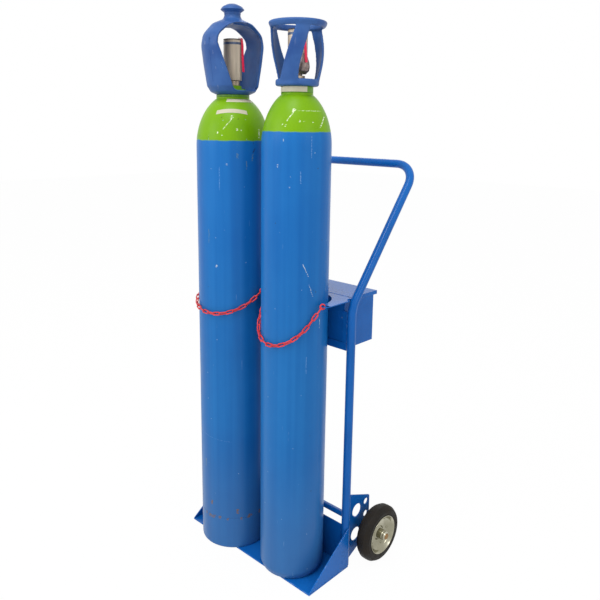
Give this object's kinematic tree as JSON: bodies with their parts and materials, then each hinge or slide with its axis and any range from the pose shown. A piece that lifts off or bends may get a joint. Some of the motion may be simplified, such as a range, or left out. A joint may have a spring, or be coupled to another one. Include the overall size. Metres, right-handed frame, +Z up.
{
  "type": "welding cart",
  "caption": "Hand cart with a bent tube frame and toe tray, carrying chained gas bottles in a scalloped cradle, with a lidded tool tray and rubber-tyred wheels.",
  "frame": {"origin": "on the floor under the toe plate, midway between the uprights, in line with the right-hand bottle's axis", "axes": "+Z up, +X along the row of bottles towards the right-hand bottle, +Y from the bottles towards the handle"},
  "size_m": [0.714, 0.58, 1.766],
  "materials": {
    "frame_paint": "glossy blue enamel, scuffed along the edges",
    "bottle_paint": "blue sprayed paint with a lime green shoulder, scratched and speckled",
    "guard_plastic": "moulded blue plastic with a satin surface",
    "chain_paint": "coral red dip coating",
    "seal_plastic": "shiny red pull strip",
    "zinc": "bright zinc plating with a faint yellow cast",
    "pewter": "satin grey metal",
    "brass": "dull machined brass",
    "tyre": "solid black rubber, dusty",
    "dark_steel": "dark bare steel"
  },
  "bodies": {
    "frame": {"upright_left": "frame_paint", "upright_right": "frame_paint", "handle_hoop": "frame_paint", "cross_tube": "frame_paint", "toe_plate": "frame_paint", "back_wall": "frame_paint", "side_gusset_left": "frame_paint", "side_gusset_right": "frame_paint", "wheel_bracket_left": "frame_paint", "wheel_bracket_right": "frame_paint", "axle": "dark_steel", "axle_spacer_left": "zinc", "axle_spacer_right": "zinc", "axle_washer_left": "zinc", "axle_washer_right": "zinc", "axle_collar_left": "brass", "axle_collar_right": "brass", "cradle_plate": "frame_paint", "tool_tray": "frame_paint", "tray_rail": "frame_paint", "tray_strap_left": "frame_paint", "tray_strap_right": "frame_paint", "hinge_fixed_leaf": "frame_paint", "hinge_pin": "zinc", "chain_left": "chain_paint", "chain_right": "chain_paint"},
    "lid": {"lid": "frame_paint", "hinge_lid_leaf": "frame_paint"},
    "wheel_left": {"tyre_left": "tyre", "rim_outer_left": "zinc", "rim_inner_left": "zinc", "hub_sleeve_left": "zinc"},
    "wheel_right": {"tyre_right": "tyre", "rim_outer_right": "zinc", "rim_inner_right": "zinc", "hub_sleeve_right": "zinc"},
    "bottle_left": {"bottle_shell_left": "bottle_paint", "foot_ring_left": "bottle_paint", "neck_ring_left": "dark_steel", "valve_guard_left": "guard_plastic", "valve_body_left": "brass", "valve_sleeve_left": "pewter", "seal_strip_left": "seal_plastic"},
    "bottle_right": {"bottle_shell_right": "bottle_paint", "neck_ring_right": "dark_steel", "valve_guard_right": "guard_plastic", "valve_body_right": "brass", "valve_sleeve_right": "pewter", "seal_strip_right": "seal_plastic", "outlet_cover_right": "dark_steel"}
  },
  "joints": [
    {"name": "wheel_left_spin", "type": "hinge", "parent": "frame", "child": "wheel_left", "pos_m": [-0.319, 0.212, 0.093], "axis": [1, 0, 0], "continuous": true},
    {"name": "wheel_right_spin", "type": "hinge", "parent": "frame", "child": "wheel_right", "pos_m": [0.319, 0.212, 0.093], "axis": [1, 0, 0], "continuous": true},
    {"name": "lid_hinge", "type": "hinge", "parent": "frame", "child": "lid", "pos_m": [0, 0.131, 0.892], "axis": [1, 0, 0], "range_deg": [0, 98]},
    {"name": "bottle_left_lift", "type": "slide", "parent": "frame", "child": "bottle_left", "axis": [0, 0, 1], "range_m": [0, 0.95]},
    {"name": "bottle_right_lift", "type": "slide", "parent": "frame", "child": "bottle_right", "axis": [0, 0, 1], "range_m": [0, 0.95]}
  ]
}
